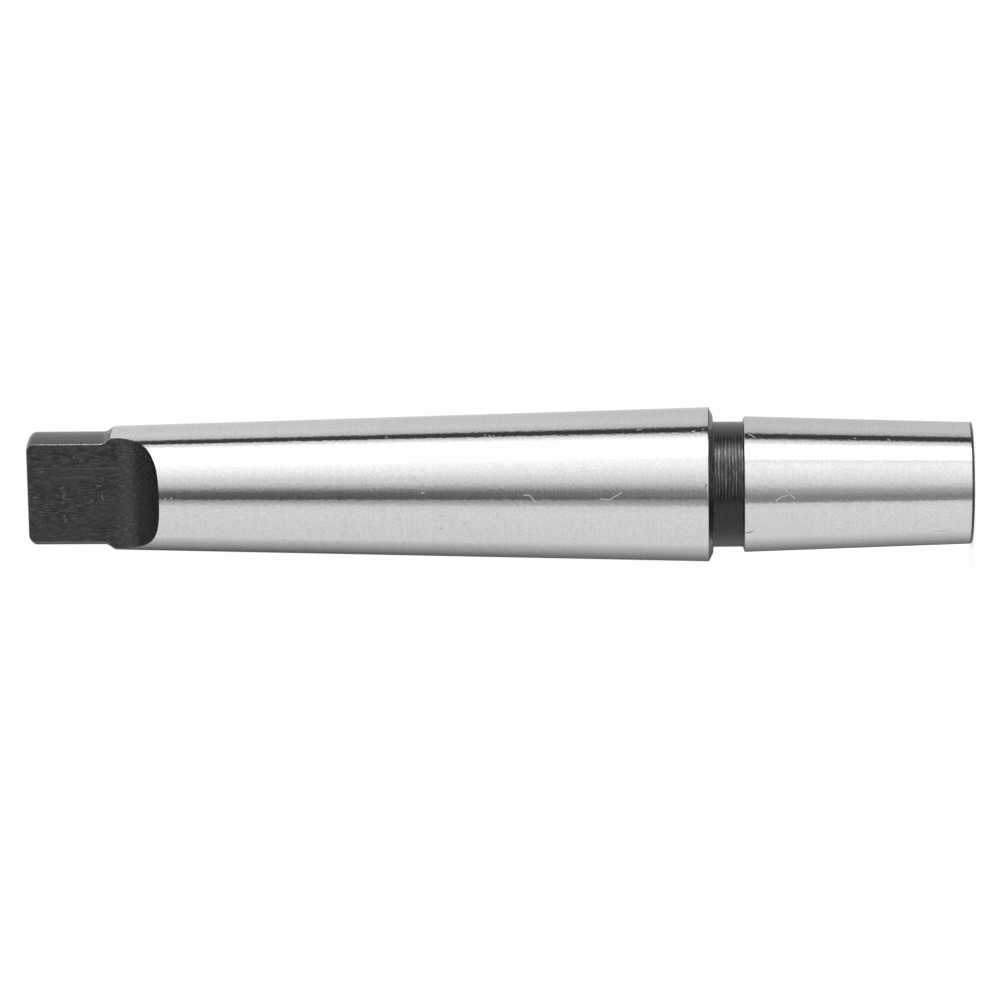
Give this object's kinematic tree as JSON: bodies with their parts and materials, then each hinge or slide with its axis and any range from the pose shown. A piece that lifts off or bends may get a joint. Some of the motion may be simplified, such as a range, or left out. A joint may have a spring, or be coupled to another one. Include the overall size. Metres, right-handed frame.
{
  "type": "drill chuck arbor",
  "caption": "Solid drill chuck arbor: a long self-holding taper shank with a flat tang, a narrow neck and a short chuck taper, turned and ground from hardened steel.",
  "frame": {"origin": "centre of the chuck end's face, which the arbor stands on", "axes": "+Z along the arbor's axis, from the chuck taper up to the tang; the tang's flats face along +Y and -Y"},
  "size_m": [0.018, 0.018, 0.1101],
  "materials": {
    "arbor_steel": "both tapers ground bright along fine rings; tang, neck, chamfers and end faces left blackened from hardening"
  },
  "bodies": {
    "root": {"chuck_arbor": "arbor_steel"}
  },
  "joints": []
}
